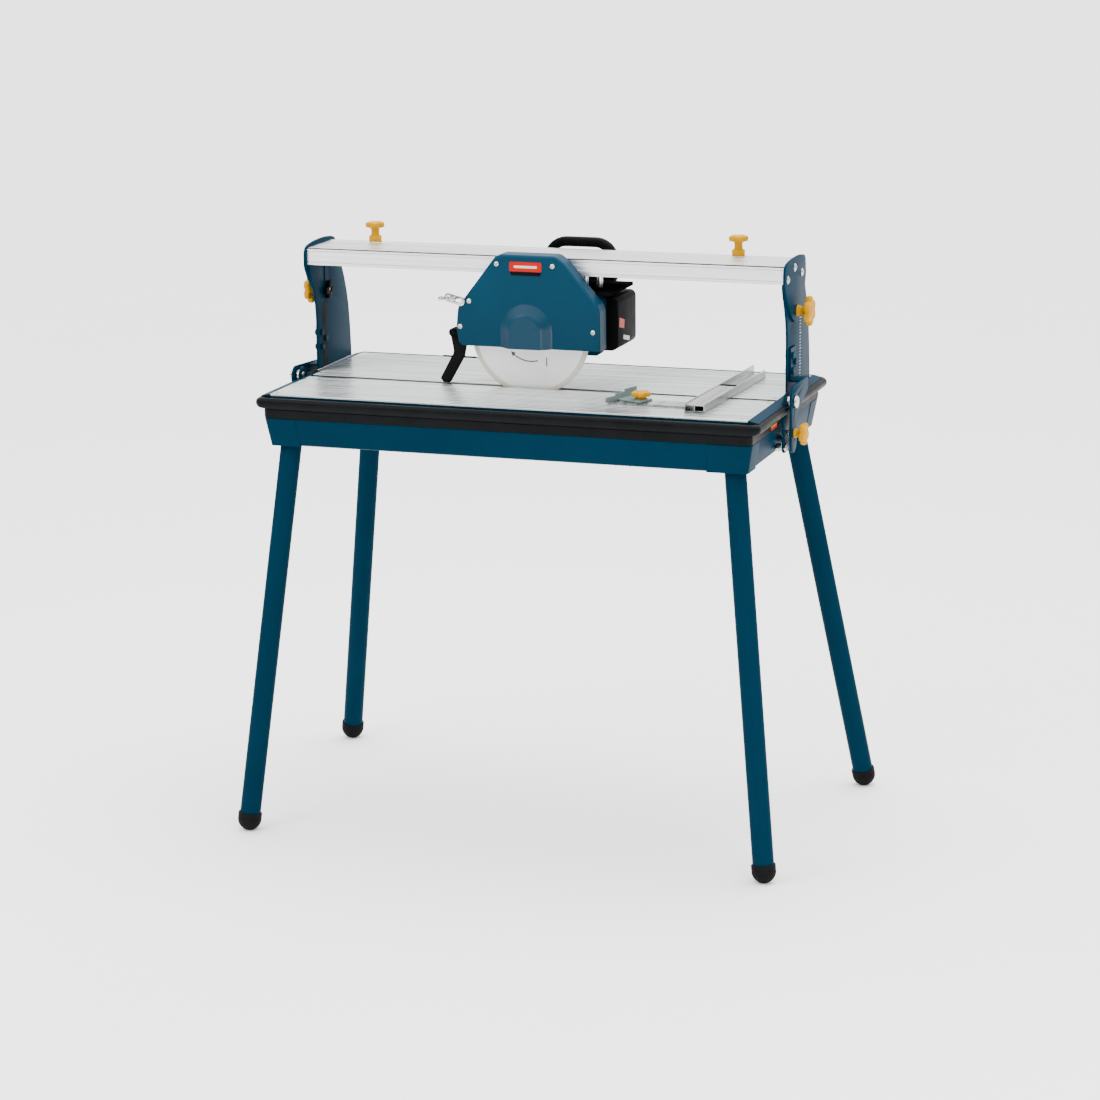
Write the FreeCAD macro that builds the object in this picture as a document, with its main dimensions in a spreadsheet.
"""Overhead-rail wet tile saw on splayed tube legs, as a parametric assembly of separate pieces.

Frame: +X to the operator's right along the rail, +Y away from the operator, +Z up.
The origin is on the floor, under the middle of the four feet. All lengths are millimetres.
Heights and X positions are given in that frame. Y positions are given from the middle of the
table plates, and table_y in the sheet moves them onto the frame's origin.
"""

import FreeCAD
import Part
import Sketcher
import math
import os

from FreeCAD import Placement, Rotation, Vector

doc = FreeCAD.newDocument("tile_saw")
sheet = doc.addObject("Spreadsheet::Sheet", "Sizes")

# Driving dimensions: alias, value, what it is.
DIMENSIONS = [
    ("table_y", -26, "middle of the table plates, from the origin"),
    ("table_top", 721.5, "height of the table surface"),
    ("plate_length", 790, "table plates along X"),
    ("plate_edge", 196, "front and rear edge of the plates from their middle"),
    ("plate_thickness", 3, "skin of the table plates"),
    ("slot_y", -27, "blade plane, and tilt axis, from the table middle"),
    ("slot_width", 16, "gap between the two plates"),
    ("rib_depth", 6, "stiffening ribs under the plates"),
    ("frame_bottom", 639, "lower edge of the blue frame"),
    ("frame_top", 684, "upper edge of the blue frame"),
    ("frame_low_x", 396, "half width at the lower edge"),
    ("frame_high_x", 403, "half width at the upper edge"),
    ("frame_front", -207, "front of the frame at its top"),
    ("frame_rear", 213, "rear of the frame at its top"),
    ("frame_corner", 10, "corner radius of the frame"),
    ("frame_wall", 3, "sheet thickness of the frame"),
    ("rim_x", 417.5, "half width of the tray's rim"),
    ("rim_front", -213.5, "front of the rim"),
    ("rim_rear", 222, "rear of the rim"),
    ("rim_size", 16, "rim section, across"),
    ("rim_low", 700, "lower side of the rim"),
    ("rim_high", 717, "upper side of the rim"),
    ("rim_round", 7, "rounding of the rim"),
    ("band_x", 404, "half width of the tray's outer band"),
    ("basin_x", 335, "half width of the water basin"),
    ("basin_front", -192, "front of the basin"),
    ("basin_rear", 200, "rear of the basin"),
    ("basin_floor", 652, "underside of the basin"),
    ("tray_wall", 3, "plastic thickness of the tray"),
    ("leg_radius", 17, "outside radius of a leg tube"),
    ("leg_wall", 1.6, "wall of a leg tube"),
    ("cap_radius", 19.5, "ball radius of a foot cap"),
    ("foot_height", 18.7, "ball centre above the floor, so each cap stands on a small flat"),
    ("cap_collar", 11, "straight part of a foot cap"),
    ("foot_front_x", 436, "front feet"),
    ("foot_front_y", -238.3, "front feet, from the table middle"),
    ("foot_rear_x", 470, "rear feet"),
    ("foot_rear_y", 290.3, "rear feet, from the table middle"),
    ("leg_top_z", 668, "upper end of the legs"),
    ("leg_top_x", 366.5, "legs at their upper end"),
    ("leg_top_front_y", -171.3, "front legs at their upper end"),
    ("leg_top_rear_y", 171.9, "rear legs at their upper end"),
    ("tilt_z", 721, "height of the tilt axis"),
    ("tilt_limit", 45, "largest tilt in degrees"),
    ("quadrant_x", 409.5, "inner face of the tilt quadrants"),
    ("quadrant_plate", 3.5, "thickness of the quadrants"),
    ("lock_radius", 50, "tilt lock from the tilt axis"),
    ("arm_x", 420.5, "inner face of the tilt arms"),
    ("arm_plate", 3.5, "thickness of the tilt arms"),
    ("post_x", 398.5, "inner face of the uprights"),
    ("post_plate", 3.5, "thickness of the uprights"),
    ("post_front", 13, "front edge of the uprights"),
    ("post_top", 902.3, "upper end of the uprights, just under the rail"),
    ("clamp_y", 54, "height clamp, from the table middle"),
    ("clamp_z", 852, "height clamp at rest"),
    ("stud_radius", 4, "clamping studs"),
    ("rail_half", 402.4, "half length of the rail"),
    ("rail_front", -15.4, "front face of the rail"),
    ("rail_rear", 92, "rear face of the rail"),
    ("rail_low", 902.8, "underside of the rail"),
    ("rail_high", 930.4, "upper side of the rail"),
    ("rail_wall", 2.5, "wall of the rail"),
    ("rail_gap_front", 18, "front of the rail's lower gap"),
    ("rail_gap_rear", 58, "rear of the rail's lower gap"),
    ("end_plate", 3.8, "thickness of the rail's end plates"),
    ("stop_y", 86, "rail stop knobs, from the table middle"),
    ("blade_x", -12, "spindle axis"),
    ("blade_z", 809, "spindle axis"),
    ("blade_radius", 100, "diamond blade"),
    ("guard_front", -50, "front wall of the guard"),
    ("guard_depth", 33, "depth of the guard"),
    ("guard_wall", 2.5, "wall of the guard"),
    ("guard_low", 788.7, "lower edge of the guard"),
    ("guard_high", 938, "upper edge of the guard"),
    ("hub_bulge", 13, "how far the hub bulge stands out"),
    ("hub_radius", 41.5, "half width of the hub bulge"),
    ("gear_module", 2, "gear module"),
    ("gear_teeth", 44, "large gear"),
    ("pinion_teeth", 14, "pinion"),
    ("gear_width", 12, "face width of the gears"),
    ("motor_x", 44.2, "motor axis"),
    ("motor_z", 823.95, "motor axis"),
    ("motor_low", 776, "underside of the motor"),
    ("motor_high", 868, "top of the motor"),
    ("motor_left", -10, "left side of the motor housing"),
    ("motor_right", 98, "right side of the motor housing"),
    ("motor_front", 10, "front of the motor housing"),
    ("motor_rear", 112, "rear of the motor"),
    ("switch_right", 122.7, "right side of the switch box"),
    ("wheel_radius", 10, "carriage wheels"),
    ("wheel_z", 915.6, "carriage wheel axles"),
    ("wheel_left_x", -96, "left wheel set"),
    ("wheel_right_x", 72, "right wheel set"),
    ("splash_x", -142, "splash arm pivot"),
    ("splash_z", 806, "splash arm pivot"),
    ("fence_x", 282, "left side of the fence at its front end"),
    ("fence_front", -155, "front end of the fence"),
    ("fence_turn", -2.5, "how far the fence stands off square, degrees"),
    ("guide_x", 198, "pivot of the angle guide"),
    ("guide_y", -108, "pivot of the angle guide"),
]
for row, (alias, value, note) in enumerate(DIMENSIONS, start=1):
    sheet.set(f"A{row}", alias)
    sheet.set(f"B{row}", str(value))
    sheet.set(f"C{row}", note)
    sheet.setAlias(f"B{row}", alias)
doc.recompute()


class Size:
    """A number that also carries the sheet formula it comes from."""

    def __init__(self, number, formula):
        self.number = float(number)
        self.formula = formula

    def __add__(self, other):
        return Size(self.number + num(other), f"({self.formula} + {text(other)})")

    def __sub__(self, other):
        return Size(self.number - num(other), f"({self.formula} - {text(other)})")

    def __mul__(self, other):
        return Size(self.number * num(other), f"({self.formula} * {text(other)})")

    def __truediv__(self, other):
        return Size(self.number / num(other), f"({self.formula} / {text(other)})")

    def __neg__(self):
        return Size(-self.number, f"(0 - {self.formula})")

    def __radd__(self, other):
        return Size(num(other) + self.number, f"({text(other)} + {self.formula})")

    def __rsub__(self, other):
        return Size(num(other) - self.number, f"({text(other)} - {self.formula})")

    def __rmul__(self, other):
        return self * other


def num(value):
    """The plain number of a Size or a number."""
    return value.number if isinstance(value, Size) else float(value)


def text(value):
    """The formula of a Size, or a number written out."""
    return value.formula if isinstance(value, Size) else f"{value:.6g}"


class Sheet:
    """The sheet's values by name, each as a Size."""

    def __getattr__(self, alias):
        return Size(sheet.get(alias), f"Sizes.{alias}")


S = Sheet()
SUBPARTS = []
SIDES = (("left", -1), ("right", 1))

# How a piece's own x, y, z axes lie in the saw. "front" draws in X-Z and grows towards -Y.
# "right" draws in Y-Z and grows towards +X. "up" draws in X-Y and grows towards +Z.
VIEWS = {
    "up": Rotation(),
    "front": Rotation(Vector(1, 0, 0), 90),
    "right": Rotation(Vector(1, 1, 1), 120),
}


def bind(feature, name, value):
    """Sets a property to a value, and binds it to the sheet where the value comes from there."""
    if isinstance(value, Size):
        feature.setExpression(name, value.formula)
    elif not name.startswith("."):
        setattr(feature, name, value)


def placed(item, at, rotation):
    """Puts a piece at a point given from the table middle, bound to the sheet."""
    x, y, z = at
    y = y + S.table_y
    item.Placement = Placement(Vector(num(x), num(y), num(z)), rotation)
    for axis, value in zip("xyz", (x, y, z)):
        bind(item, f".Placement.Base.{axis}", value)
    return item


def subpart(item, name):
    """Names a finished sub-part, which is written to its own file."""
    item.Label = name
    SUBPARTS.append(item)
    return item


def new_body(name, view="up", at=(0, 0, 0), rotation=None, keep=True):
    """An empty body in the given view; a body that is only a tool isn't kept as a sub-part."""
    body = doc.addObject("PartDesign::Body", name)
    placed(body, at, rotation or VIEWS[view])
    return subpart(body, name) if keep else body


def sketch(body, start=0):
    """A sketch on the body's own XY plane, moved along its Z by start."""
    made = body.newObject("Sketcher::SketchObject", f"{body.Name}_sketch")
    plane = next(f for f in body.Origin.OriginFeatures if f.Role == "XY_Plane")
    made.AttachmentSupport = [(plane, "")]
    made.MapMode = "FlatFace"
    made.AttachmentOffset = Placement(Vector(0, 0, num(start)), Rotation())
    bind(made, ".AttachmentOffset.Base.z", start)
    return made


def pin_point(made, curve, end, x, y):
    """Holds one end of a curve at x, y from the sketch's origin."""
    for kind, value in (("DistanceX", x), ("DistanceY", y)):
        index = made.addConstraint(Sketcher.Constraint(kind, -1, 1, curve, end, num(value)))
        if isinstance(value, Size):
            made.setExpression(f"Constraints[{index}]", value.formula)


def pin_radius(made, curve, radius):
    """Holds the radius of a circle or an arc."""
    index = made.addConstraint(Sketcher.Constraint("Radius", curve, abs(num(radius))))
    if isinstance(radius, Size) and num(radius) > 0:
        made.setExpression(f"Constraints[{index}]", radius.formula)


def circle(made, x, y, radius):
    """A circle."""
    curve = made.addGeometry(Part.Circle(Vector(num(x), num(y), 0), Vector(0, 0, 1), num(radius)))
    pin_point(made, curve, 3, x, y)
    pin_radius(made, curve, radius)


def outline(made, start, *steps):
    """A closed outline. A step (x, y) is a straight line to that point, and a step (x, y, r) an
    arc of radius r, turning left where r is positive and right where it is negative."""
    points = [start, *[step[:2] for step in steps]]
    closing = math.hypot(num(points[-1][0]) - num(start[0]), num(points[-1][1]) - num(start[1]))
    if closing > 1e-6:
        points.append(start)
        steps = (*steps, start)
    ends = []
    for begin, end, step in zip(points, points[1:], steps):
        a = Vector(num(begin[0]), num(begin[1]), 0)
        b = Vector(num(end[0]), num(end[1]), 0)
        if len(step) == 2:
            curve = made.addGeometry(Part.LineSegment(a, b))
            ends.append((curve, 1, 2))
            continue
        radius = num(step[2])
        chord = b - a
        rise = math.sqrt(max(radius**2 - (chord.Length / 2) ** 2, 0))
        left = Vector(-chord.y, chord.x, 0).normalize()
        centre = (a + b) / 2 + left * (rise if radius > 0 else -rise)
        first, last = (a, b) if radius > 0 else (b, a)
        angles = [math.atan2(p.y - centre.y, p.x - centre.x) for p in (first, last)]
        ring = Part.Circle(centre, Vector(0, 0, 1), abs(radius))
        curve = made.addGeometry(Part.ArcOfCircle(ring, *angles))
        ends.append((curve, 1, 2) if radius > 0 else (curve, 2, 1))
        if rise > 0.01:
            pin_radius(made, curve, step[2])
    for (curve, _, last), (following, first, _) in zip(ends, ends[1:] + ends[:1]):
        made.addConstraint(Sketcher.Constraint("Coincident", curve, last, following, first))
    straight = [len(step) == 2 for step in steps]
    for index, ((curve, first, _), point) in enumerate(zip(ends, points)):
        smooth = not straight[index] and not straight[index - 1]
        if not smooth:
            pin_point(made, curve, first, *point)
        else:
            pin_point(made, curve, first, num(point[0]), num(point[1]))


def rectangle(made, x0, y0, x1, y1, corner=0):
    """A rectangle, with rounded corners where corner is given."""
    if not corner:
        outline(made, (x0, y0), (x1, y0), (x1, y1), (x0, y1))
        return
    outline(
        made,
        (x0 + corner, y0),
        (x1 - corner, y0),
        (x1, y0 + corner, corner),
        (x1, y1 - corner),
        (x1 - corner, y1, corner),
        (x0 + corner, y1),
        (x0, y1 - corner, corner),
        (x0, y0 + corner),
        (x0 + corner, y0, corner),
    )


def upright_slot(made, x, low, high, radius):
    """A round-ended slot along the sketch's y axis."""
    outline(made, (x + radius, low), (x + radius, high), (x - radius, high, radius), (x - radius, low),
            (x + radius, low, radius))


def extrude(kind, body, made, length):
    """A Pad or a Pocket that grows along the body's +Z from its sketch."""
    made.Visibility = False
    feature = body.newObject(f"PartDesign::{kind}", f"{body.Name}_{kind}")
    feature.Profile = made
    if kind == "Pocket":
        feature.Reversed = True
    bind(feature, "Length", length)
    return feature


def pad(body, made, length):
    return extrude("Pad", body, made, length)


def pocket(body, made, length):
    return extrude("Pocket", body, made, length)


def turned(name, profile, at, view="up", rotation=None, keep=True):
    """A turned piece: profile is (radius, height) points, spun about the body's own Z axis."""
    body = new_body(name, view, at, rotation, keep)
    made = body.newObject("Sketcher::SketchObject", f"{name}_sketch")
    plane = next(f for f in body.Origin.OriginFeatures if f.Role == "XZ_Plane")
    made.AttachmentSupport = [(plane, "")]
    made.MapMode = "FlatFace"
    outline(made, profile[0], *profile[1:])
    spin = body.newObject("PartDesign::Revolution", f"{name}_spin")
    spin.Profile = made
    spin.ReferenceAxis = (made, ["V_Axis"])
    spin.Angle = 360
    return body


def edges_of(feature, wanted):
    """Names of a feature's edges whose middle point meets a test."""
    doc.recompute()
    names = []
    for index, edge in enumerate(feature.Shape.Edges, start=1):
        middle = edge.valueAt((edge.FirstParameter + edge.LastParameter) / 2)
        if wanted(edge, middle):
            names.append(f"Edge{index}")
    return names


def rounded(body, feature, radius, wanted):
    """A fillet on the edges of feature that meet a test."""
    fillet = body.newObject("PartDesign::Fillet", f"{body.Name}_fillet")
    fillet.Base = (feature, edges_of(feature, wanted))
    bind(fillet, "Radius", radius)
    body.Tip = fillet
    return fillet


def group(name, members):
    """Identical loose pieces kept as one sub-part of separate solids."""
    made = doc.addObject("Part::Compound", name)
    made.Links = members
    return subpart(made, name)


def leg_points(side, front):
    """Ball centre of a foot and the upper end of its leg, from the table middle."""
    foot_x = S.foot_front_x if front else S.foot_rear_x
    foot_y = S.foot_front_y if front else S.foot_rear_y
    top_y = S.leg_top_front_y if front else S.leg_top_rear_y
    foot = (side * foot_x, foot_y, S.foot_height)
    return foot, (side * S.leg_top_x, top_y, S.leg_top_z)


def leg_direction(foot, top):
    return Vector(*[num(b) - num(a) for a, b in zip(foot, top)])


def leg_spot(side, front, height):
    """Where a leg's axis passes a height."""
    foot, top = leg_points(side, front)
    share = (height - num(foot[2])) / (num(top[2]) - num(foot[2]))
    return [num(a) + (num(b) - num(a)) * share for a, b in zip(foot, top)]


QUADRANT_BOLTS = (-15, 40)
LEGS = [(f"{end}_{word}", side, end == "front") for end in ("front", "rear") for word, side in SIDES]


def make_frame():
    """Tapered sheet frame with a flange below that carries the four leg sockets."""
    body = new_body("table_frame")
    taper = S.frame_high_x - S.frame_low_x
    bottom = sketch(body, S.frame_bottom)
    rectangle(bottom, -S.frame_low_x, S.frame_front + taper, S.frame_low_x, S.frame_rear - taper,
              S.frame_corner - S.frame_wall)
    top = sketch(body, S.frame_top)
    rectangle(top, -S.frame_high_x, S.frame_front, S.frame_high_x, S.frame_rear, S.frame_corner)
    shell = body.newObject("PartDesign::AdditiveLoft", "frame_outside")
    shell.Profile = bottom
    shell.Sections = [top]
    shell.Ruled = True
    wall = S.frame_wall
    low = sketch(body, S.frame_bottom + wall)
    rectangle(low, wall - S.frame_low_x, S.frame_front + taper + wall, S.frame_low_x - wall,
              S.frame_rear - taper - wall, S.frame_corner - 2 * wall)
    high = sketch(body, S.frame_top + 1)
    rectangle(high, wall - S.frame_high_x, S.frame_front + wall, S.frame_high_x - wall, S.frame_rear - wall,
              S.frame_corner - wall)
    hollow = body.newObject("PartDesign::SubtractiveLoft", "frame_inside")
    hollow.Profile = low
    hollow.Sections = [high]
    hollow.Ruled = True
    flange = 48
    opening = sketch(body, S.frame_bottom - 1)
    rectangle(opening, flange - S.frame_low_x, S.frame_front + taper + flange, S.frame_low_x - flange,
              S.frame_rear - taper - flange, 12)
    pocket(body, opening, wall + 2)
    sockets = sketch(body, S.frame_bottom)
    bore = S.leg_radius + 0.05
    for _, side, front in LEGS:
        x, y, _ = leg_spot(side, front, num(S.frame_bottom) + 14)
        circle(sockets, x, y, bore + 5.2)
    pad(body, sockets, 28)
    for _, side, front in LEGS:
        foot, top = leg_points(side, front)
        cut = body.newObject("PartDesign::SubtractiveCylinder", "socket_bore")
        cut.Radius = num(bore)
        cut.Height = 700
        lean = Rotation(Vector(0, 0, 1), leg_direction(foot, top))
        cut.Placement = Placement(Vector(*map(num, foot)), lean)
    for _, side in SIDES:
        for offset in QUADRANT_BOLTS:
            hole = body.newObject("PartDesign::SubtractiveCylinder", "quadrant_hole")
            hole.Radius = 3.05
            hole.Height = 20
            start = Vector(side * 385, num(S.slot_y) + offset, 650)
            hole.Placement = Placement(start, Rotation(Vector(0, 0, 1), Vector(side, 0, 0)))
    return body


def make_tray():
    """Black water tray: basin, outer band that rests on the frame, and a thick rolled rim."""
    body = new_body("water_tray")
    basin = sketch(body, S.basin_floor)
    rectangle(basin, -S.basin_x, S.basin_front, S.basin_x, S.basin_rear, 20)
    pad(body, basin, S.frame_top - S.basin_floor + 1)
    band = sketch(body, S.frame_top)
    rectangle(band, -S.band_x, S.frame_front - 1, S.band_x, S.frame_rear + 3, S.frame_corner)
    pad(body, band, S.rim_low - S.frame_top)
    rim = sketch(body, S.rim_low)
    rectangle(rim, -S.rim_x, S.rim_front, S.rim_x, S.rim_rear, S.frame_corner + 3)
    block = pad(body, rim, S.rim_high - S.rim_low)
    low, high = num(S.rim_low), num(S.rim_high)
    block = rounded(body, block, S.rim_round, lambda e, p: abs(p.z - high) < 0.01)
    body.Tip = block
    front, rear, side = num(S.frame_front) - 3, num(S.frame_rear) + 6, num(S.band_x) + 3
    rounded(body, block, S.rim_round / 2, lambda e, p: abs(p.z - low) < 0.01
            and (abs(p.x) > side or p.y < front or p.y > rear))
    inner = S.rim_x - S.rim_size
    well = sketch(body, S.frame_top + S.tray_wall)
    well_front, well_rear = S.rim_front + S.rim_size, S.rim_rear - S.rim_size
    rectangle(well, -inner, well_front, inner, well_rear, S.frame_corner - 4)
    pocket(body, well, S.rim_high - S.frame_top)
    wall = S.tray_wall
    water = sketch(body, S.basin_floor + wall)
    rectangle(water, wall - S.basin_x, S.basin_front + wall, S.basin_x - wall, S.basin_rear - wall, 17)
    pocket(body, water, S.frame_top - S.basin_floor + 5)
    notches = sketch(body, S.rim_low - 2)
    for _, side in SIDES:
        edges = sorted((side * 408, side * 420))
        rectangle(notches, edges[0], S.slot_y - 18, edges[1], S.slot_y + 18)
    pocket(body, notches, 25)
    return body


def make_top_frame():
    """Blue steel frame that the plates lie on, with strips beside their ends and behind them."""
    body = new_body("table_top_frame")
    under = S.table_top - S.plate_thickness
    edge = S.plate_length / 2
    ring = sketch(body, under - 3)
    rectangle(ring, -edge - 4, -S.plate_edge - 1, edge + 4, S.plate_edge + 9, 8)
    rectangle(ring, 15 - edge, 16 - S.plate_edge, edge - 15, S.plate_edge - 16)
    pad(body, ring, 3)
    strips = sketch(body, S.rim_high + 0.4)
    for _, side in SIDES:
        near, far = sorted((side * num(edge + 0.2), side * 412))
        rectangle(strips, near, -S.plate_edge - 1, far, S.plate_edge + 9)
    pad(body, strips, S.table_top - S.rim_high - 0.4)
    rear = sketch(body, under - 1)
    rectangle(rear, -edge - 4, S.plate_edge + 0.2, edge + 4, S.plate_edge + 9)
    pad(body, rear, S.plate_thickness + 1)
    webs = sketch(body, S.frame_top + S.tray_wall)
    for _, side in SIDES:
        near, far = sorted((side * num(edge + 1), side * num(edge + 4)))
        rectangle(webs, near, 30 - S.plate_edge, far, S.plate_edge - 30)
    pad(body, webs, under - S.frame_top - S.tray_wall - 2)
    notches = sketch(body, S.rim_high - 1)
    for _, side in SIDES:
        near, far = sorted((side * 408, side * 413))
        rectangle(notches, near, S.slot_y - 18, far, S.slot_y + 18)
    pocket(body, notches, 10)
    holes = sketch(body, under - 5)
    for front, rear in (FRONT_PLATE, REAR_PLATE):
        for x, y in screw_spots(front, rear):
            circle(holes, x, y, 2.05)
    pocket(body, holes, 8)
    return body


def make_plate(name, front, rear, ribs):
    """Aluminium table plate, and the stiffening bars fixed under it."""
    body = new_body(f"{name}_sheet", keep=False)
    skin = sketch(body, S.table_top - S.plate_thickness)
    rectangle(skin, -S.plate_length / 2, front, S.plate_length / 2, rear)
    pad(body, skin, S.plate_thickness)
    holes = sketch(body, S.table_top - S.plate_thickness)
    for x, y in screw_spots(front, rear):
        circle(holes, x, y, 2.2)
    pocket(body, holes, S.plate_thickness)
    pieces = [body]
    for index, y in enumerate(ribs):
        rib = new_body(f"{name}_rib_{index}", keep=False)
        section = sketch(rib, S.table_top - S.plate_thickness - S.rib_depth)
        rectangle(section, 25 - S.plate_length / 2, y, S.plate_length / 2 - 25, y + 4)
        pad(rib, section, S.rib_depth)
        pieces.append(rib)
    return group(name, pieces)


def screw_spots(front, rear):
    """The four fixing screws of a table plate."""
    inset = S.plate_length / 2 - 8
    return [(side * inset, y) for _, side in SIDES for y in (front + 11, rear - 11)]


def make_table_screws(plates):
    screws = []
    for front, rear in plates:
        for x, y in screw_spots(front, rear):
            shank = -(S.plate_thickness + 2.5)
            profile = [(0, shank), (2, shank), (2, -S.plate_thickness), (2, 0), (4, 0), (3.4, 0.9), (0, 1.1)]
            screws.append(turned(f"plate_screw_{len(screws)}", profile, (x, y, S.table_top), keep=False))
    return group("table_screws", screws)


def make_legs():
    """Four splayed tube legs, and the rubber ball caps they stand on."""
    caps = []
    for name, side, front in LEGS:
        foot, top = leg_points(side, front)
        lean = leg_direction(foot, top)
        turn = Rotation(Vector(0, 0, 1), lean)
        leg = new_body(f"leg_{name}", at=foot, rotation=turn)
        section = sketch(leg, -2)
        circle(section, 0, 0, S.leg_radius)
        circle(section, 0, 0, S.leg_radius - S.leg_wall)
        pad(leg, section, round(lean.Length + 2, 3))
        ball = S.cap_radius
        inner = S.leg_radius
        profile = [(0, -ball), (ball, 0, ball), (ball, S.cap_collar), (inner, S.cap_collar),
                   (inner, -2), (0, -2)]
        cap = turned(f"cap_{name}", profile, foot, rotation=turn, keep=False)
        flat = cap.newObject("PartDesign::SubtractiveCylinder", f"flat_{name}")
        flat.Radius = 14
        flat.Height = 10
        below = Placement(Vector(0, 0, -10 - num(S.foot_height)), Rotation())
        flat.Placement = Placement(Vector(), turn.inverted()) * below
        caps.append(cap)
    return group("foot_caps", caps)


def make_pump():
    """Submersible pump that stands in the basin, with its outlet spigot and intake ribs."""
    body = new_body("water_pump", at=(276, 150, S.basin_floor + S.tray_wall))
    block = sketch(body)
    rectangle(block, -34, -26, 34, 26, 8)
    solid = pad(body, block, 40)
    rounded(body, solid, 4, lambda e, p: abs(p.z - 40) < 0.01)
    spigot = sketch(body, 39)
    circle(spigot, 18, 0, 7)
    pad(body, spigot, 15)
    bore = sketch(body, 40)
    circle(bore, 18, 0, 4.5)
    pocket(body, bore, 20)
    intake = sketch(body, 6)
    for index in range(6):
        rectangle(intake, -36, -20 + 7 * index, -31, -17 + 7 * index)
    pocket(body, intake, 22)
    return body


def make_quadrants():
    """Slotted plates on the frame's sides that carry the tilt axis and lock the tilt."""
    plates = []
    for word, side in SIDES:
        start = S.quadrant_x if side > 0 else -S.quadrant_x - S.quadrant_plate
        body = new_body(f"quadrant_{word}", "right", keep=False)
        plate = sketch(body, start)
        y, z = S.slot_y, S.tilt_z
        outline(plate, (y - 24, 641), (y + 50, 641), (y + 50, 697), (y + 14, 697), (y + 14, z), (y - 14, z, 14),
                (y - 14, 697), (y - 24, 697))
        pad(body, plate, S.quadrant_plate)
        holes = sketch(body, start)
        circle(holes, y, z, 6)
        for offset in QUADRANT_BOLTS:
            circle(holes, y + offset, 650, 3.05)
        pocket(body, holes, S.quadrant_plate)
        arc = sketch(body, start)
        half = 4.5
        reach = S.lock_radius
        turn = math.radians(num(S.tilt_limit))
        low, high = num(reach) - half, num(reach) + half
        c, s = math.cos(turn), math.sin(turn)
        y, z = num(y), num(z)
        outline(arc, (y, z - high), (y + high * s, z - high * c, high), (y + low * s, z - low * c, half),
                (y, z - low, -low), (y, z - high, half))
        pocket(body, arc, S.quadrant_plate)
        plates.append(body)
    return group("tilt_quadrants", plates)


def make_tilt_fasteners():
    """The two pivot pins and the bolts with spacers that hold the quadrants to the frame."""
    pieces = []
    for word, side in SIDES:
        rotation = Rotation(Vector(0, 0, 1), Vector(side, 0, 0))
        plate = S.quadrant_plate
        gap = S.arm_x - S.quadrant_x - 0.3
        head = S.arm_x - S.quadrant_x + S.arm_plate + 0.3
        profile = [(0, 0), (6, 0), (6, plate), (9, plate), (9, gap), (6, gap), (6, head), (10, head), (10, head + 4),
                   (8.5, head + 5.5), (0, head + 5.5)]
        at = (side * S.quadrant_x, S.slot_y, S.tilt_z)
        pieces.append(turned(f"pivot_pin_{word}", profile, at, rotation=rotation, keep=False))
        for offset in QUADRANT_BOLTS:
            profile = [(0, -15), (3, -15), (3, -10.2), (6.5, -10.2), (6.5, 0), (3, 0), (3, plate), (5.5, plate),
                       (5.5, plate + 3), (4.5, plate + 4), (0, plate + 4)]
            at = (side * S.quadrant_x, S.slot_y + offset, 650)
            name = f"quadrant_bolt_{word}_{abs(offset)}"
            pieces.append(turned(name, profile, at, rotation=rotation, keep=False))
    return group("tilt_fasteners", pieces)


# ---------------------------------------------------------------- tilting bridge


def side_start(side, inner, thickness):
    """Where a side piece starts along X, so that it grows towards +X on both sides."""
    return inner if side > 0 else -inner - thickness


def make_tilt_arm(word, side):
    """Arm outside the rim that hangs the upright on the tilt axis and reaches down to the lock."""
    body = new_body(f"tilt_arm_{word}", "right")
    y, z = S.slot_y, S.tilt_z
    lock = z - S.lock_radius
    back = S.post_front + 47
    near = S.post_front + 8
    step_top = 746 if side > 0 else 731.5
    boss_top = 746 if side > 0 else 736
    plate = sketch(body, side_start(side, S.arm_x, S.arm_plate))
    outline(plate, (y - 17, lock - 14), (y + 17, lock - 14, 17), (y + 17, 697), (back, step_top - 19),
            (back, step_top), (y + 9, boss_top), (y - 7, boss_top), (y - 17, boss_top - 10))
    pad(body, plate, S.arm_plate)
    bridge_width = S.arm_x - S.post_x - S.post_plate
    step = sketch(body, side_start(side, S.post_x + S.post_plate, bridge_width + 1))
    rectangle(step, near, step_top - 3.5, back, step_top)
    pad(body, step, bridge_width + 1)
    tab = sketch(body, side_start(side, S.post_x + S.post_plate, 3.5))
    rectangle(tab, near, step_top - 3.5, near + 32, 796)
    pad(body, tab, 3.5)
    holes = sketch(body, side_start(side, S.post_x, 30))
    circle(holes, y, z, 6.05)
    circle(holes, y, lock, S.stud_radius + 0.05)
    for spot in ARM_BOLTS:
        circle(holes, S.post_front + spot[0], spot[1], 3.1)
    pocket(body, holes, 30)
    return body


ARM_BOLTS = ((15, 760), (15, 784), (31, 772))


def make_upright(word, side):
    """Upright plate, with the slot that the height clamp slides in."""
    body = new_body(f"upright_{word}", "right")
    start = side_start(side, S.post_x, S.post_plate)
    front = S.post_front
    web = sketch(body, start)
    outline(web, (front, 724), (156, 724), (150, 812), (122, 883), (110, S.post_top),
            (front - 27, S.post_top), (front - 27, 890), (front, 838))
    pad(body, web, S.post_plate)
    holes = sketch(body, start)
    upright_slot(holes, S.clamp_y, S.clamp_z - 0.5, S.clamp_z + 30.5, 4.5)
    for spot in ARM_BOLTS:
        circle(holes, front + spot[0], spot[1], 3)
    pocket(body, holes, S.post_plate)
    return body


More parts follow.
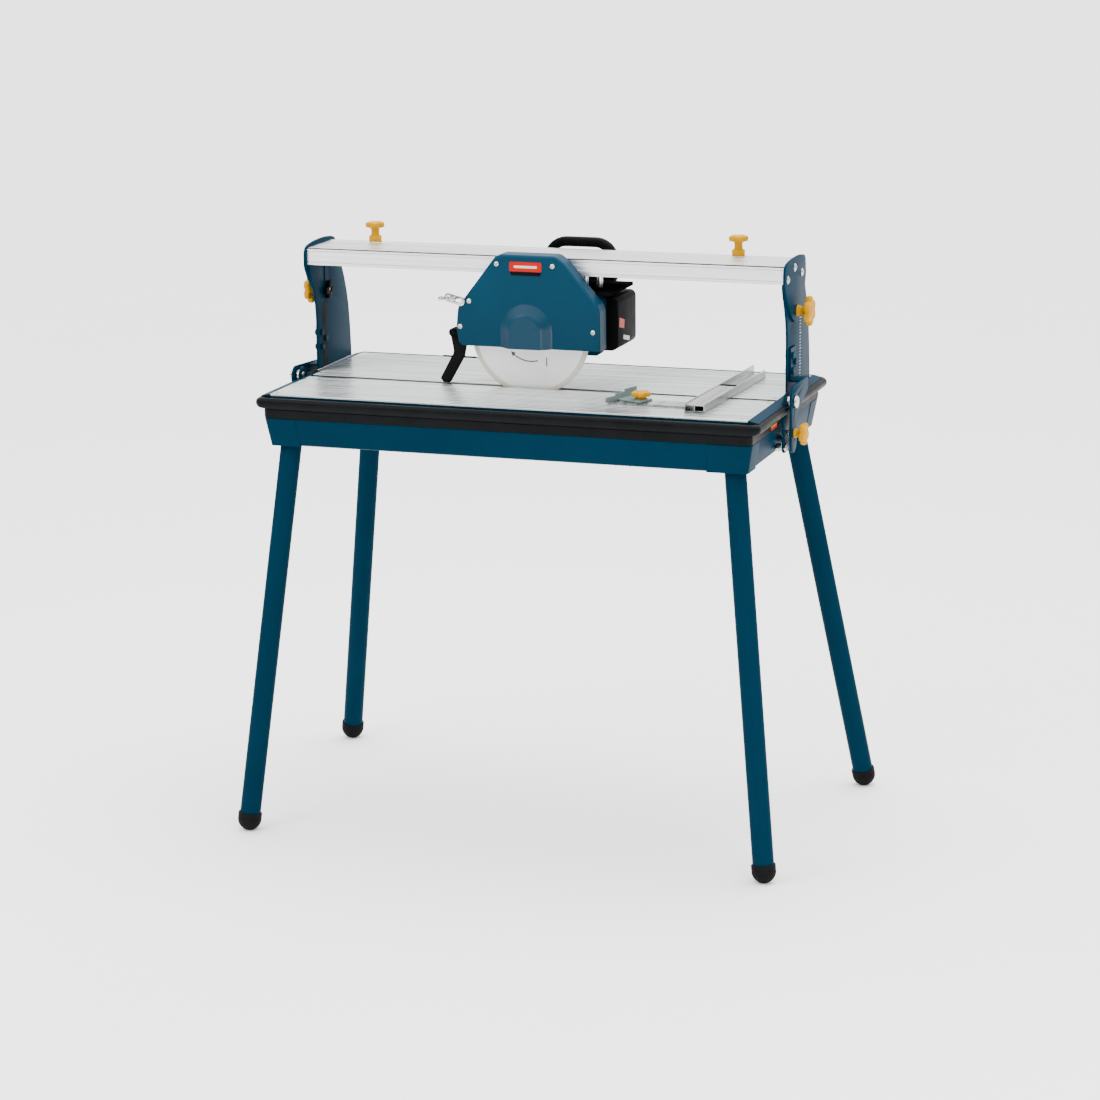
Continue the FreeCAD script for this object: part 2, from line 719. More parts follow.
def make_upright_bolts():
    bolts = []
    for word, side in SIDES:
        rotation = Rotation(Vector(0, 0, 1), Vector(side, 0, 0))
        for index, spot in enumerate(ARM_BOLTS):
            profile = [(0, -3), (5, -3), (5, 0), (3, 0), (3, 7), (5.5, 7), (5.5, 9), (4.5, 10.5), (0, 10.5)]
            at = (side * S.post_x, S.post_front + spot[0], spot[1])
            bolts.append(turned(f"arm_bolt_{word}_{index}", profile, at, rotation=rotation, keep=False))
    return group("upright_bolts", bolts)


def star_knob(name, at, direction, star, neck, stud, lobes=5):
    """Star knob: lobed head of (radius, thickness), neck of (radius, length) and a stud of
    (radius, length) behind it. Its own Z points out of the head, and 0 is the neck's foot."""
    rotation = Rotation(Vector(0, 0, 1), Vector(*direction))
    body = new_body(name, at=at, rotation=rotation)
    radius, thickness = star
    foot = sketch(body)
    circle(foot, 0, 0, neck[0] * 1.25)
    pad(body, foot, neck[1] * 0.25)
    column = sketch(body)
    circle(column, 0, 0, neck[0])
    pad(body, column, neck[1] + 1)
    head = sketch(body, neck[1])
    circle(head, 0, 0, radius * 0.8)
    pad(body, head, thickness)
    lobe = sketch(body, neck[1])
    lobe_radius = radius * 0.3
    circle(lobe, radius - lobe_radius, 0, lobe_radius)
    grip = pad(body, lobe, thickness)
    ring = body.newObject("PartDesign::PolarPattern", f"{name}_lobes")
    ring.Originals = [grip]
    ring.Axis = (column, ["N_Axis"])
    ring.Angle = 360
    ring.Occurrences = lobes
    body.Tip = ring
    if stud:
        shaft = sketch(body, -stud[1])
        circle(shaft, 0, 0, stud[0])
        pad(body, shaft, stud[1] + 1)
    return body


def make_side_knobs():
    """Height clamp knobs on the end plates, and smaller tilt lock knobs on the tilt arms."""
    outer = S.post_x + S.post_plate + 0.4 + S.end_plate
    for word, side in SIDES:
        reach = outer - S.post_x + 6
        star_knob(f"height_knob_{word}", (side * (outer + 0.3), S.clamp_y, S.clamp_z), (side, 0, 0), (24, 11),
                  (7, 14), (S.stud_radius, num(reach)), lobes=6)
        arm = S.arm_x + S.arm_plate + 0.3
        stud = num(arm - S.quadrant_x) + 4.2
        knob = star_knob(f"tilt_knob_{word}", (side * arm, S.slot_y, S.tilt_z - S.lock_radius), (side, 0, 0), (18, 10),
                         (6, 10), (S.stud_radius, stud))
        head = sketch(knob, -stud)
        circle(head, 0, 0, 8)
        pad(knob, head, 3.8)


# ---------------------------------------------------------------- rail and its ends

RAIL_BOLTS = ((37, 923), (82, 909), (-6, 909))


def make_rail():
    """Aluminium extrusion, open along its underside, with screw bosses for the end plates."""
    body = new_body("rail", "right")
    front, rear, low, high, wall = S.rail_front, S.rail_rear, S.rail_low, S.rail_high, S.rail_wall
    section = sketch(body, -S.rail_half)
    outline(section, (S.rail_gap_front, low), (S.rail_gap_front, low + wall), (front + wall, low + wall),
            (front + wall, high - wall), (rear - wall, high - wall), (rear - wall, low + wall),
            (S.rail_gap_rear, low + wall), (S.rail_gap_rear, low), (rear, low), (rear, high), (76, high),
            (76, high - 0.8), (73, high - 0.8), (73, high), (-9, high), (-9, high - 0.8), (-12, high - 0.8),
            (-12, high), (front, high), (front, low))
    pad(body, section, 2 * S.rail_half)
    for start in (-S.rail_half, S.rail_half - 14):
        bosses = sketch(body, start)
        rectangle(bosses, 31, high - 11, 43, high - 2)
        rectangle(bosses, rear - 16, low + 1, rear - 1, low + 12)
        rectangle(bosses, front + 1, low + 1, front + 16, low + 12)
        pad(body, bosses, 14)
    holes = sketch(body, -S.rail_half)
    for y, z in RAIL_BOLTS:
        circle(holes, y, z, 2.6)
    pocket(body, holes, 2 * S.rail_half)
    return body


def make_end_plate(word, side):
    """Arched plate on the end of the rail, clamped to the upright by the height knob."""
    body = new_body(f"end_plate_{word}", "right")
    start = side_start(side, S.rail_half, S.end_plate)
    plate = sketch(body, start)
    y, z = S.clamp_y, S.clamp_z
    outline(plate, (-22, 900), (y - 34, z - 2), (y - 20, z - 12), (y + 20, z - 12, 34), (y + 34, z - 2),
            (112, 905), (106, 933), (-22, 935, 520), (-22, 918))
    pad(body, plate, S.end_plate)
    holes = sketch(body, start)
    circle(holes, y, z, S.stud_radius + 0.05)
    for spot in RAIL_BOLTS:
        circle(holes, *spot, 2.6)
    pocket(body, holes, S.end_plate)
    return body


def make_rail_bolts():
    bolts = []
    for word, side in SIDES:
        rotation = Rotation(Vector(0, 0, 1), Vector(side, 0, 0))
        plate = S.end_plate
        for index, (y, z) in enumerate(RAIL_BOLTS):
            profile = [(0, -12), (2.5, -12), (2.5, plate), (5, plate), (5, plate + 2),
                       (3.4, plate + 3.4), (0, plate + 3.4)]
            at = (side * S.rail_half, y, z)
            bolts.append(turned(f"rail_bolt_{word}_{index}", profile, at, rotation=rotation, keep=False))
    return group("rail_bolts", bolts)


def make_clamp_nuts():
    """T-shaped clamp nuts on the inside of the uprights, threaded on the height knobs' studs."""
    nuts = []
    for word, side in SIDES:
        body = new_body(f"clamp_nut_{word}", "right", keep=False)
        shape = sketch(body, side_start(side, S.post_x - 7.3, 7))
        y, z = S.clamp_y, S.clamp_z
        outline(shape, (y - 16, z - 6), (y - 7, z - 6), (y - 7, z - 14), (y + 7, z - 14), (y + 7, z - 6), (y + 16, z - 6),
                (y + 16, z + 5), (y + 9, z + 5), (y + 9, z + 14), (y - 3, z + 14), (y - 3, z + 5), (y - 16, z + 5))
        pad(body, shape, 7)
        bore = sketch(body, side_start(side, S.post_x - 7.3, 7))
        circle(bore, y, z, S.stud_radius + 0.05)
        pocket(body, bore, 7)
        nuts.append(body)
    return group("clamp_nuts", nuts)


STOP_X = {"left": -322, "right": 301}


def make_stop_knobs():
    """Knobs on top of the rail that stop or park the carriage at each end."""
    for word, _ in SIDES:
        knob = star_knob(f"stop_knob_{word}", (STOP_X[word], S.stop_y, S.rail_high + 0.3), (0, 0, 1), (16, 9),
                         (6.5, 23), None)
        collar = sketch(knob)
        circle(collar, 0, 0, 10.5)
        pad(knob, collar, 9)


# ---------------------------------------------------------------- carriage and head


def make_carriage_plate():
    body = new_body("carriage_plate")
    plate = sketch(body, 872)
    outline(plate, (-116, -14), (118, -14), (118, 109), (-84, 109), (-116, 77))
    pad(body, plate, 6)
    return body


def make_runner():
    """Aluminium runner inside the rail, with the four columns that hang the carriage plate."""
    body = new_body("runner_bar", keep=False)
    under = 907.3
    block = sketch(body, under)
    rectangle(block, S.wheel_left_x - 17, 24, S.wheel_right_x + 17, 52, 3)
    pad(body, block, 18)
    pieces = [body]
    for x in (S.wheel_left_x, S.wheel_right_x):
        axle = body.newObject("PartDesign::SubtractiveCylinder", "axle_bore")
        axle.Radius = 4.05
        axle.Height = 40
        axle.Placement = Placement(Vector(num(x), 60, num(S.wheel_z)), VIEWS["front"])
        for offset in (-12, 12):
            column = new_body(f"runner_column_{len(pieces)}", keep=False)
            section = sketch(column, 878)
            circle(section, x + offset, 38, 5)
            pad(column, section, under - 878)
            pieces.append(column)
    return group("runner_block", pieces)


def make_wheel_set(word, x):
    """Axle with a wheel at each end, running on the two lips inside the rail."""
    r = S.wheel_radius
    profile = [(0, 0), (3, 0), (3, 1), (r - 1, 1), (r, 2), (r, 8), (r - 1, 9), (4, 9), (4, 63), (r - 1, 63), (r, 64),
               (r, 70), (r - 1, 71), (3, 71), (3, 72), (0, 72)]
    return turned(f"wheel_set_{word}", profile, (x, 74, S.wheel_z), "front")


GUARD = ((-117, 0), (111.9, 0), (111.2, 68), (51, 139.5), (37.6, 149.3), (-54, 149.3), (-63.7, 145.6), (-111.8, 83.5),
         (-128.6, 61.4), (-131.6, 27.8), (-128.2, 6.5))
GUARD_SCREWS = ((-60.1, 133.9), (33.7, 133.4), (-123.5, 30.6), (100.6, 30.3), (-107.6, 72.2))


def inset(points, distance):
    """A convex outline moved inwards by a distance."""
    moved = []
    count = len(points)
    for index, here in enumerate(points):
        sides = []
        for a, b in ((points[index - 1], here), (here, points[(index + 1) % count])):
            run = math.hypot(b[0] - a[0], b[1] - a[1])
            sides.append((-(b[1] - a[1]) / run, (b[0] - a[0]) / run))
        (ax, ay), (bx, by) = sides
        scale = distance / (1 + ax * bx + ay * by)
        moved.append((here[0] + (ax + bx) * scale, here[1] + (ay + by) * scale))
    return moved


def hub_arch(made, radius, low):
    """The arched outline of the hub bulge."""
    x, z = S.blade_x + 0.7, 816
    outline(made, (x - radius, low), (x + radius, low), (x + radius, z), (x - radius, z, radius))


def make_guard():
    """Blade guard: front wall, side walls open below and behind, hub bulge and splash ears."""
    body = new_body("guard_cover", "front")
    low = S.guard_low
    front = -S.guard_front
    block = sketch(body, front - S.guard_depth)
    points = [(x, low + z) for x, z in GUARD]
    outline(block, *points)
    pad(body, block, S.guard_depth)
    cavity = sketch(body, front - S.guard_depth - 1)
    inner = inset(GUARD, num(S.guard_wall))
    inner = [(x, z - 8 if z < 4 else z) for x, z in inner]
    outline(cavity, *[(x, low + z) for x, z in inner])
    pocket(body, cavity, S.guard_depth - S.guard_wall + 1)
    bulge = sketch(body, front)
    hub_arch(bulge, S.hub_radius, low)
    pad(body, bulge, S.hub_bulge)
    hollow = sketch(body, front - S.guard_wall - 1)
    hub_arch(hollow, S.hub_radius - 2.5, low - 1)
    pocket(body, hollow, S.hub_bulge + 1)
    for start in (18, 31):
        ears = sketch(body, start)
        x, z = S.splash_x, S.splash_z
        outline(ears, (x + 13.2, z - 7), (x + 13.2, z + 7), (x, z + 7), (x, z - 7, 7))
        pad(body, ears, 5)
    bores = sketch(body, 15)
    circle(bores, S.splash_x, S.splash_z, 3.05)
    pocket(body, bores, 25)
    screws = sketch(body, front - S.guard_wall)
    for x, z in GUARD_SCREWS:
        circle(screws, x, low + z, 2.5)
    pocket(body, screws, S.guard_wall)
    return body


def make_guard_back():
    """Rear wall of the guard, on the gear case, with the posts that the cover screws into."""
    body = new_body("guard_back", "front")
    wall = sketch(body, 17)
    outline(wall, *[(x, S.guard_low + z) for x, z in inset(GUARD, num(S.guard_wall) + 0.3)])
    pad(body, wall, 3)
    posts = sketch(body, 19)
    for x, z in GUARD_SCREWS:
        circle(posts, x, S.guard_low + z, 4.5)
    pad(body, posts, -S.guard_front - S.guard_wall - 19)
    hole = sketch(body, 16)
    circle(hole, S.blade_x, S.blade_z, 21)
    pocket(body, hole, 5)
    bores = sketch(body, 30)
    for x, z in GUARD_SCREWS:
        circle(bores, x, S.guard_low + z, 2.5)
    pocket(body, bores, 20)
    return body


def make_guard_screws():
    screws = []
    for x, z in GUARD_SCREWS:
        profile = [(0, -14), (2.4, -14), (2.4, 0), (5, 0), (5, 1.4), (3.6, 2.8), (0, 3.2)]
        at = (x, S.guard_front, S.guard_low + z)
        screws.append(turned(f"guard_screw_{len(screws)}", profile, at, "front", keep=False))
    return group("guard_screws", screws)


def case_outline(made, right, slant):
    """Gear case seen from the front: round about the spindle, square with slanted corners about the motor."""
    x, z = S.blade_x, S.blade_z
    low, high = S.motor_low, 872
    reach = 50
    meet = math.sqrt(reach**2 - (num(z) - num(low)) ** 2)
    outline(made, (x - reach, z), (x + meet, low, reach), (right - slant, low), (right, low + slant),
            (right, high - slant), (right - slant, high), (x - reach, high))


def make_gear_case():
    """Cast gear case: bearing seats in its front wall, cavity for the gear pair behind it."""
    body = new_body("gear_case", "front")
    x, z = S.blade_x, S.blade_z
    block = sketch(body, -S.motor_front)
    case_outline(block, 104, 8)
    pad(body, block, 17 + S.motor_front)
    cavity = sketch(body, -S.motor_front - 1)
    circle(cavity, x, z, 47.6)
    pocket(body, cavity, S.motor_front + 10)
    small = sketch(body, -S.motor_front - 1)
    circle(small, S.motor_x, S.motor_z, 18.5)
    pocket(body, small, S.motor_front + 10)
    seats = sketch(body, 5)
    circle(seats, x, z, 14.02)
    pocket(body, seats, 15)
    rear_seat = sketch(body, 5)
    circle(rear_seat, S.motor_x, S.motor_z, 8.02)
    pocket(body, rear_seat, 10)
    return body


def make_motor():
    """Motor housing and its vented end cap; the housing's front flange closes the gear case."""
    housing = new_body("motor_housing", "front")
    left, right, low, high = S.motor_left, S.motor_right, S.motor_low, S.motor_high
    seam = 98
    outer = sketch(housing, -seam)
    rectangle(outer, left, low, right, high, 14)
    pad(housing, outer, seam - S.motor_front)
    flange = sketch(housing, -S.motor_front - 4)
    case_outline(flange, right, 14)
    pad(housing, flange, 4)
    room = sketch(housing, -seam - 1)
    rectangle(room, left + 4, low + 4, right - 4, high - 4, 10)
    pocket(housing, room, seam + 1 - S.motor_front - 8)
    seats = sketch(housing, -S.motor_front - 9)
    circle(seats, S.motor_x, S.motor_z, 11.02)
    pocket(housing, seats, 12)

    cap = new_body("motor_end_cap", "front")
    shell = sketch(cap, -S.motor_rear)
    rectangle(shell, left, low, right, high, 14)
    block = pad(cap, shell, S.motor_rear - seam)
    rounded(cap, block, 6, lambda e, p: abs(p.z + num(S.motor_rear)) < 0.01)
    hollow = sketch(cap, -S.motor_rear + 7)
    rectangle(hollow, left + 4, low + 4, right - 4, high - 4, 10)
    pocket(cap, hollow, 20)
    seat = sketch(cap, -S.motor_rear + 2)
    circle(seat, S.motor_x, S.motor_z, 8.02)
    pocket(cap, seat, 10)
    vents = sketch(cap, -S.motor_rear - 1)
    for index in range(5):
        for turn in (-1, 1):
            upright_slot(vents, S.motor_x + turn * (16 + 7 * index), S.motor_z - 20, S.motor_z + 20, 1.6)
    pocket(cap, vents, 12)


def make_switch_box():
    """Box on the motor's right side that holds the switch; the rocker tips in its rear recess."""
    body = new_body("switch_box", "front")
    outer = sketch(body, -110)
    outline(outer, (S.motor_right, 780), (S.switch_right - 12, 780), (S.switch_right, 792, 12),
            (S.switch_right, 856), (S.switch_right - 10, 866, 10), (S.motor_right, 866))
    block = pad(body, outer, 98)
    rounded(body, block, 3, lambda e, p: abs(p.z + 110) < 0.01 and p.x > num(S.motor_right) + 0.5)
    room = sketch(body, -98)
    rectangle(room, S.motor_right + 3, 784, S.switch_right - 3, 862, 5)
    pocket(body, room, 83)
    recess = sketch(body, -111)
    rectangle(recess, ROCKER[0] - 7.2, ROCKER[2] - 12.5, ROCKER[0] + 7.2, ROCKER[2] + 12.5)
    pocket(body, recess, 9.5)
    pivot = body.newObject("PartDesign::SubtractiveCylinder", "rocker_pivot_bore")
    pivot.Radius = 1.25
    pivot.Height = 18
    turn = VIEWS["front"].inverted()
    start = turn.multVec(Vector(ROCKER[0] - 9, ROCKER[1], ROCKER[2]))
    pivot.Placement = Placement(start, turn * VIEWS["right"])
    return body


ROCKER = (110.3, 108.3, 836)


def make_rocker():
    """Rocker of the on-off switch: pivots about X in the middle of its recess."""
    body = new_body("switch_rocker", "right", at=ROCKER)
    side = sketch(body, -6.5)
    outline(side, (-3, -10.5), (2.2, -11), (1.6, 0), (2.2, 11), (-3, 10.5))
    pad(body, side, 13)
    pin = sketch(body, -8.5)
    circle(pin, 0, 0, 1.2)
    pad(body, pin, 17)
    return body


def make_handle():
    """D-shaped handle behind the rail, bolted to the rear edge of the carriage plate."""
    body = new_body("handle", "front")
    shape = sketch(body, -131)
    outline(shape, (-36, 869.5), (88, 869.5), (88, 920), (62, 945.5, 34), (-10, 945.5), (-36, 920, 34))
    block = pad(body, shape, 22)
    grip = rounded(body, block, 6, lambda e, p: p.y > 880 and e.Length > 5 and abs(abs(p.z + 120) - 11) < 0.1)
    opening = sketch(body, -132)
    outline(opening, (-18, 886), (70, 886), (70, 916), (55, 930.5, 20), (-3, 930.5), (-18, 916, 20))
    pocket(body, opening, 25)
    return body


def make_bearings():
    """Ball bearings of the spindle and the armature, as plain rings."""
    rings = []
    spots = [
        ("spindle_front", S.blade_x, S.blade_z, -9, 8, 6, 14),
        ("armature_front", S.motor_x, S.motor_z, -9, 5, 4, 8),
        ("armature_middle", S.motor_x, S.motor_z, 18, 7, 5, 11),
        ("armature_rear", S.motor_x, S.motor_z, 109.5, 6, 4, 8),
    ]
    for name, x, z, rear, width, inner, outer in spots:
        profile = [(inner + 0.05, 0), (outer, 0), (outer, width), (inner + 0.05, width)]
        rings.append(turned(name, profile, (x, rear, z), "front", keep=False))
    return group("bearings", rings)


def make_stator():
    """Field core with two flats, in the middle of the motor."""
    body = new_body("stator", "front")
    core = sketch(body, -76)
    x, z = S.motor_x, S.motor_z
    outline(core, (x - 40, z - 24), (x - 24, z - 40), (x + 24, z - 40), (x + 40, z - 24), (x + 40, z + 24),
            (x + 26, z + 38), (x - 26, z + 38), (x - 40, z + 24))
    circle(core, x, z, 25.5)
    pad(body, core, 46)
    return body


# ---------------------------------------------------------------- rotating pieces


def gear_outline(teeth, module, backlash):
    """Points of a spur gear with flat-sided flanks that follow the involute at three radii."""
    pitch = teeth * module / 2
    base = pitch * math.cos(math.radians(20))
    radii = [pitch - 1.2 * module, pitch - 0.35 * module, pitch + 0.3 * module, pitch + 0.92 * module]
    half_pitch = math.pi / (2 * teeth) - backlash / (2 * pitch)

    def spread(radius):
        """Half the tooth's angle at a radius."""
        lean = math.acos(min(1, base / max(radius, base)))
        pitch_lean = math.radians(20)
        return half_pitch + (math.tan(pitch_lean) - pitch_lean) - (math.tan(lean) - lean)

    points = []
    for tooth in range(teeth):
        middle = 2 * math.pi * tooth / teeth
        flank = [(r, spread(r)) for r in radii]
        left = [(r, middle - s) for r, s in flank]
        right = [(r, middle + s) for r, s in reversed(flank)]
        points += [Vector(r * math.cos(a), r * math.sin(a), 0) for r, a in left + right]
    return points


def gear_solid(teeth, module, width, backlash, turn):
    points = gear_outline(teeth, module, backlash)
    face = Part.Face(Part.makePolygon(points + points[:1]))
    solid = face.extrude(Vector(0, 0, width))
    solid.rotate(Vector(), Vector(0, 0, 1), turn)
    return solid


def make_gear():
    """Large gear on the spindle. A tooth space faces the pinion."""
    line = math.degrees(math.atan2(num(S.motor_z) - num(S.blade_z), num(S.motor_x) - num(S.blade_x)))
    teeth = int(num(S.gear_teeth))
    solid = gear_solid(teeth, num(S.gear_module), num(S.gear_width), 0.25, line + 180 / teeth)
    solid = solid.cut(Part.makeCylinder(6, num(S.gear_width)))
    gear = doc.addObject("Part::Feature", "spindle_gear")
    gear.Shape = solid
    placed(gear, (S.blade_x, 5, S.blade_z), VIEWS["front"])
    return subpart(gear, "spindle_gear")


def make_armature():
    """Armature: shaft with the pinion cut on its front end, core and commutator."""
    line = math.degrees(math.atan2(num(S.motor_z) - num(S.blade_z), num(S.motor_x) - num(S.blade_x)))
    pinion = gear_solid(int(num(S.pinion_teeth)), num(S.gear_module), num(S.gear_width), 0.25, line + 180)
    pinion.translate(Vector(0, 0, -5))
    steps = [(-107, 4, 10), (-97, 5, 80), (-76, 24.5, 46), (-92, 12, 10), (-17, 5, 13), (-4.5, 5, 2), (7, 4, 6.5)]
    solid = pinion
    for start, radius, length in steps:
        solid = solid.fuse(Part.makeCylinder(radius, length, Vector(0, 0, start)))
    shaft = doc.addObject("Part::Feature", "armature")
    shaft.Shape = solid.removeSplitter()
    placed(shaft, (S.motor_x, 0, S.motor_z), VIEWS["front"])
    return subpart(shaft, "armature")


def make_fan():
    """Cooling fan behind the armature's middle bearing: disc and radial blades."""
    body = new_body("cooling_fan", "front", at=(S.motor_x, 0, S.motor_z))
    disc = sketch(body, -22)
    circle(disc, 0, 0, 36)
    circle(disc, 0, 0, 5)
    pad(body, disc, 2)
    blade = sketch(body, -27)
    rectangle(blade, 12, -0.8, 35, 0.8)
    vane = pad(body, blade, 6)
    ring = body.newObject("PartDesign::PolarPattern", "fan_blades")
    ring.Originals = [vane]
    ring.Axis = (disc, ["N_Axis"])
    ring.Angle = 360
    ring.Occurrences = 12
    body.Tip = ring
    return body


def make_spindle_set():
    """Spindle, its flanges, the diamond blade and the nut that clamps it."""
    at = (S.blade_x, S.slot_y, S.blade_z)
    turned("spindle", [(0, -33), (6, -33), (6, -1.3), (6, 15), (5.6, 16.5), (0, 16.5)], at, "front")
    inner = [(6, -9), (12, -9), (14, -5), (19, -5), (19, -1.1), (6, -1.1)]
    outer = [(6, 1.1), (19, 1.1), (19, 4), (13, 6.5), (6, 6.5)]
    flanges = [turned(f"blade_flange_{name}", profile, at, "front", keep=False)
               for name, profile in (("inner", inner), ("outer", outer))]
    group("blade_flanges", flanges)
    r = S.blade_radius
    turned("blade", [(6, -1.1), (r - 8, -1.1), (r - 8, -1.3), (r, -1.3), (r, 1.3), (r - 8, 1.3),
                     (r - 8, 1.1), (6, 1.1)],
           at, "front")
    nut = new_body("blade_nut", "front", at=at)
    hexagon = sketch(nut, 6.5)
    across = 11
    corner = across / math.cos(math.pi / 6)
    points = [(corner * math.cos(math.pi * k / 3), corner * math.sin(math.pi * k / 3)) for k in range(6)]
    outline(hexagon, *points)
    circle(hexagon, 0, 0, 6)
    pad(nut, hexagon, 8)


def make_splash():
    """Rubber splash arm in front of the blade, and the slotted bracket with its wing nut."""
    arm = new_body("splash_arm", "front", at=(S.splash_x, 0, S.splash_z))
    shape = sketch(arm, 24)
    outline(shape, (7.5, 0), (-7.5, 0, 7.5), (-1, -33), (-25, -77), (-20, -83.2), (-8, -83.2), (17, -39),
            (20.5, -21), (9, -14))
    pad(arm, shape, 6)
    pin = sketch(arm, 18.5)
    circle(pin, 0, 0, 3)
    pad(arm, pin, 17)

    bracket = new_body("splash_bracket", "front", at=(-128, 0, 861.5),
                       rotation=VIEWS["front"] * Rotation(Vector(0, 0, 1), -14))
    strap = sketch(bracket, -S.guard_front + 0.05)
    rectangle(strap, -22, -7, 13, 7, 6)
    rectangle(strap, -4, -2.6, 8, 2.6, 2.5)
    pad(bracket, strap, 2)
    stud = sketch(bracket, -S.guard_front + 1)
    circle(stud, -14, 0, 2.5)
    pad(bracket, stud, 12)

    turn = Rotation(Vector(0, 0, 1), -14)
    spot = turn.multVec(Vector(-14, 0, 0))
    nut = new_body("wing_nut", "front", at=(-128 + spot.x, 0, 861.5 + spot.y))
    hub = sketch(nut, -S.guard_front + 2.4)
    circle(hub, 0, 0, 5.5)
    circle(hub, 0, 0, 2.55)
    pad(nut, hub, 7)
    wings = sketch(nut, -S.guard_front + 5)
    outline(wings, (4.6, -1.3), (14, -2.4), (15, 2.4), (4.6, 1.3))
    outline(wings, (-4.6, 1.3), (-14, 2.4), (-15, -2.4), (-4.6, -1.3))
    pad(nut, wings, 9)


# ---------------------------------------------------------------- guides on the table


def fence_place(x, y):
    """A point of the fence, which is given along and across its own length, on the table."""
    turn = math.radians(num(S.fence_turn))
    return (S.fence_x + (x * math.cos(turn) - y * math.sin(turn)),
            S.fence_front + (x * math.sin(turn) + y * math.cos(turn)), S.table_top + 0.3)


def make_fence():
    """Aluminium double channel across the table, its clamp block and the guide's bar."""
    rotation = Rotation(Vector(0, 0, 1), num(S.fence_turn)) * VIEWS["front"]
    fence = new_body("fence", at=fence_place(0, 0), rotation=rotation)
    closed = sketch(fence, -165)
    rectangle(closed, 0, 0, 33, 11.5)
    rectangle(closed, 1.8, 1.8, 15.6, 9.7)
    rectangle(closed, 17.4, 1.8, 31.2, 9.7)
    pad(fence, closed, 165)
    left_wall = sketch(fence, -348)
    rectangle(left_wall, 0, 0, 2, 13)
    pad(fence, left_wall, 348)
    right_wall = sketch(fence, -312)
    rectangle(right_wall, 31, 0, 33, 13)
    pad(fence, right_wall, 312)
    floor = sketch(fence, -312)
    rectangle(floor, 1, 0, 32, 2)
    pad(fence, floor, 312)

    clamp = new_body("fence_clamp", at=fence_place(0, 0), rotation=Rotation(Vector(0, 0, 1), num(S.fence_turn)))
    block = sketch(clamp, 2)
    rectangle(block, 10, 167, 29, 180)
    pad(clamp, block, 7)
    lip = sketch(clamp, 9)
    rectangle(lip, 2.4, 171, 30.6, 177)
    pad(clamp, lip, 3)

    bar = new_body("guide_bar", at=(0, 0, S.table_top + 0.3))
    strip = sketch(bar)
    rectangle(strip, 150, -131, S.fence_x + 0.9, -93)
    circle(strip, S.guide_x, S.guide_y, 3.05)
    pad(bar, strip, 3)


def make_angle_guide():
    """Low wedge-shaped guide that swivels on the bar, and the star knob that locks it."""
    base_z = S.table_top + 3.6
    plate = new_body("angle_plate", at=(S.guide_x, S.guide_y, base_z))
    turn = math.radians(70)
    along = Vector(math.cos(turn), math.sin(turn), 0)
    across = Vector(-along.y, along.x, 0)

    def spot(length, width):
        point = along * length + across * width
        return point.x, point.y

    foot = sketch(plate)
    outline(foot, spot(-16, -10), spot(16, -10), spot(16, 34), spot(-16, 34))
    pad(plate, foot, 2.5)
    boss = sketch(plate)
    circle(boss, 0, 0, 11)
    pad(plate, boss, 4)
    wall = wedge_piece(plate, spot)
    bore = sketch(plate, -1)
    circle(bore, 0, 0, 3.05)
    pocket(plate, bore, 8)
    star_knob("guide_knob", (S.guide_x, S.guide_y, base_z + 4.3), (0, 0, 1), (15.5, 8), (7, 3), (3, 7.2))
    return wall


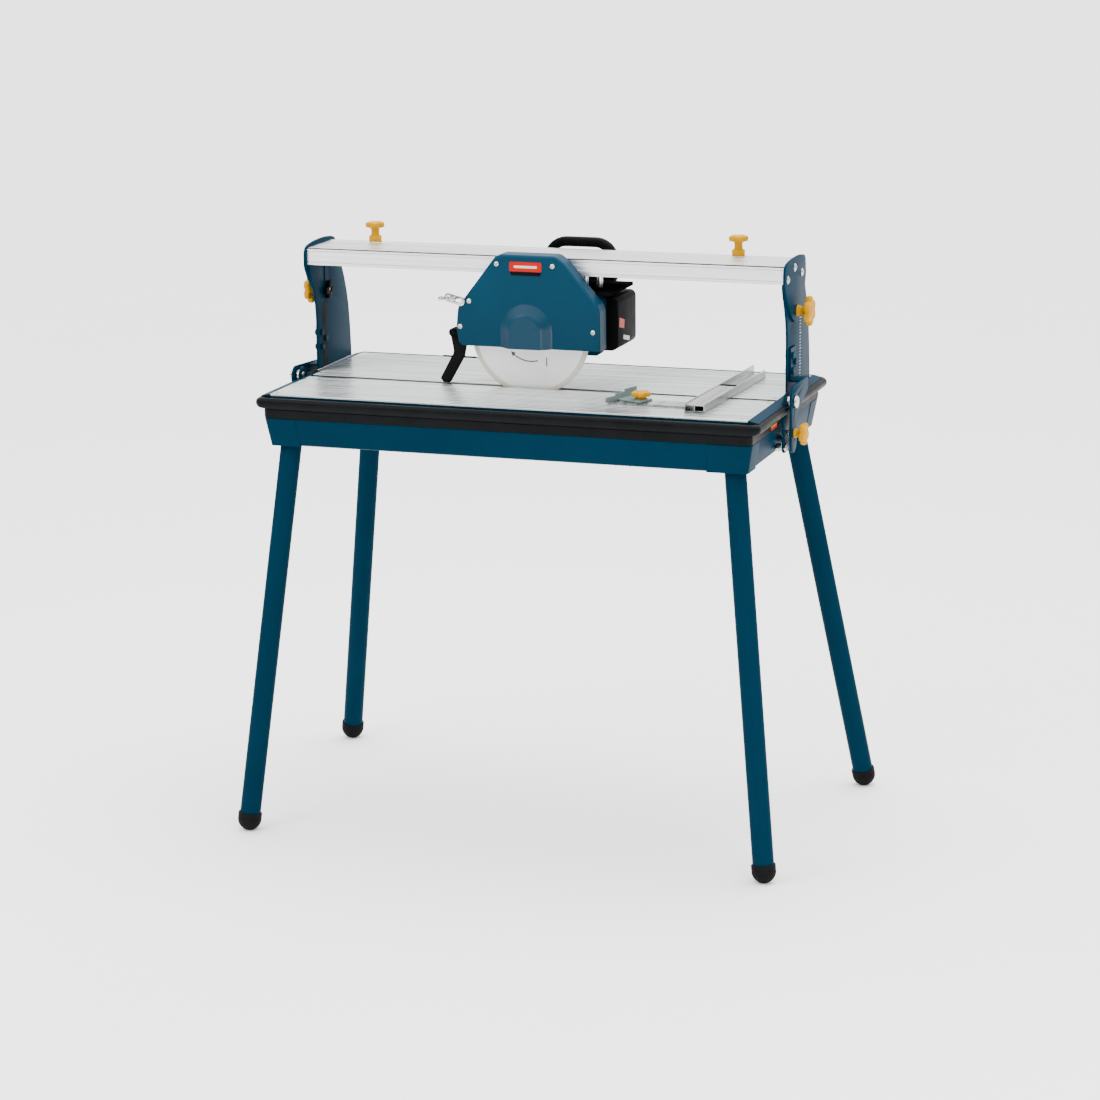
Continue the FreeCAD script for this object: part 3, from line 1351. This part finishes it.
def wedge_piece(plate, spot):
    """The guide's upright face: long, low in front and higher behind."""
    base = sketch(plate)
    outline(base, spot(-44, 34), spot(34, 34), spot(34, 36.5), spot(-44, 36.5))
    face = pad(plate, base, 8)
    high = sketch(plate, 7)
    outline(high, spot(-20, 34), spot(34, 34), spot(34, 36.5), spot(-20, 36.5))
    pad(plate, high, 4)
    tall = sketch(plate, 10)
    outline(tall, spot(4, 34), spot(34, 34), spot(34, 36.5), spot(4, 36.5))
    pad(plate, tall, 5)
    return face


# ---------------------------------------------------------------- assembly

FRONT_PLATE = (-S.plate_edge, S.slot_y - S.slot_width / 2)
REAR_PLATE = (S.slot_y + S.slot_width / 2, S.plate_edge)

make_frame()
make_tray()
make_top_frame()
make_plate("table_plate_front", *FRONT_PLATE, ribs=(-150, -90))
make_plate("table_plate_rear", *REAR_PLATE, ribs=(40, 100, 150))
make_table_screws((FRONT_PLATE, REAR_PLATE))
make_legs()
make_pump()
make_quadrants()
make_tilt_fasteners()
for side_word, side_sign in SIDES:
    make_tilt_arm(side_word, side_sign)
    make_upright(side_word, side_sign)
    make_end_plate(side_word, side_sign)
make_upright_bolts()
make_side_knobs()
make_rail()
make_rail_bolts()
make_clamp_nuts()
make_stop_knobs()
make_carriage_plate()
make_runner()
make_wheel_set("left", S.wheel_left_x)
make_wheel_set("right", S.wheel_right_x)
make_guard()
make_guard_back()
make_guard_screws()
make_gear_case()
make_motor()
make_switch_box()
make_rocker()
make_handle()
make_bearings()
make_stator()
make_gear()
make_armature()
make_fan()
make_spindle_set()
make_splash()
make_fence()
make_angle_guide()

doc.recompute()

faults = [item.Label for item in doc.Objects if {"Invalid", "Error"} & set(item.State)]
for item in SUBPARTS:
    if item.Shape.isNull() or not item.Shape.isValid() or not item.Shape.Solids:
        faults.append(f"{item.Label}: bad shape")
for item in doc.Objects:
    if item.TypeId in ("PartDesign::Pocket", "PartDesign::SubtractiveLoft", "PartDesign::SubtractiveCylinder"):
        base = item.BaseFeature
        if base is None or base.Shape.isNull() or item.Shape.isNull() or item.Shape.Volume > base.Shape.Volume - 0.5:
            faults.append(f"{item.Label}: cuts nothing")
if faults:
    raise SystemExit(f"not written: {faults}")

os.makedirs("parts", exist_ok=True)
for item in SUBPARTS:
    item.Shape.exportStep(os.path.join("parts", f"{item.Label}.step"))
    print(item.Label, len(item.Shape.Solids), round(item.Shape.Volume / 1000, 2), "cm3")
print(len(SUBPARTS), "sub-parts")
